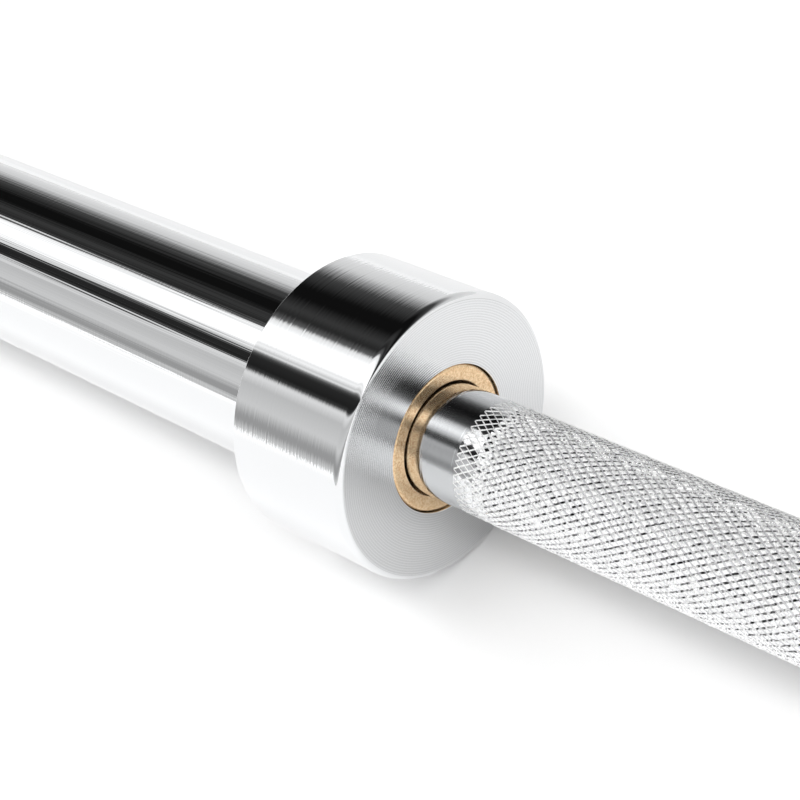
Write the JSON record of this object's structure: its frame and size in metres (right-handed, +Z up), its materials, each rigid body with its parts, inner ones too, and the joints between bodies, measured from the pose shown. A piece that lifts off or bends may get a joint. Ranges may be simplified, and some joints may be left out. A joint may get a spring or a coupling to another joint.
{
  "type": "barbell with rotating sleeves",
  "caption": "Chromed straight barbell with a knurled shaft, round collars and long plate sleeves that turn on bronze bushings.",
  "frame": {"origin": "middle of the bar, on its axis", "axes": "+X along the bar towards the right-hand end, +Z up"},
  "size_m": [2.2, 0.072, 0.072],
  "materials": {
    "shaft_chrome": "hard chrome",
    "sleeve_chrome": "chrome over a turned surface",
    "collar_chrome": "chrome over a turned surface",
    "cap_chrome": "chrome over a turned surface",
    "bushing_bronze": "sintered bronze, machined",
    "washer_steel": "ground",
    "spring_steel": "phosphated spring steel"
  },
  "bodies": {
    "shaft": {"shaft": "shaft_chrome", "left_thrust_washer": "washer_steel", "right_thrust_washer": "washer_steel", "left_shim_washer": "washer_steel", "right_shim_washer": "washer_steel", "left_inner_snap_ring": "spring_steel", "right_inner_snap_ring": "spring_steel", "left_outer_snap_ring": "spring_steel", "right_outer_snap_ring": "spring_steel"},
    "left_sleeve_unit": {"left_collar": "collar_chrome", "left_sleeve": "sleeve_chrome", "left_inner_bushing": "bushing_bronze", "left_outer_bushing": "bushing_bronze", "left_end_cap": "cap_chrome", "left_cap_ring": "spring_steel"},
    "right_sleeve_unit": {"right_collar": "collar_chrome", "right_sleeve": "sleeve_chrome", "right_inner_bushing": "bushing_bronze", "right_outer_bushing": "bushing_bronze", "right_end_cap": "cap_chrome", "right_cap_ring": "spring_steel"}
  },
  "joints": [
    {"name": "left_sleeve_spin", "type": "hinge", "parent": "shaft", "child": "left_sleeve_unit", "pos_m": [-0.9, 0, 0], "axis": [1, 0, 0], "continuous": true},
    {"name": "right_sleeve_spin", "type": "hinge", "parent": "shaft", "child": "right_sleeve_unit", "pos_m": [0.9, 0, 0], "axis": [1, 0, 0], "continuous": true}
  ]
}
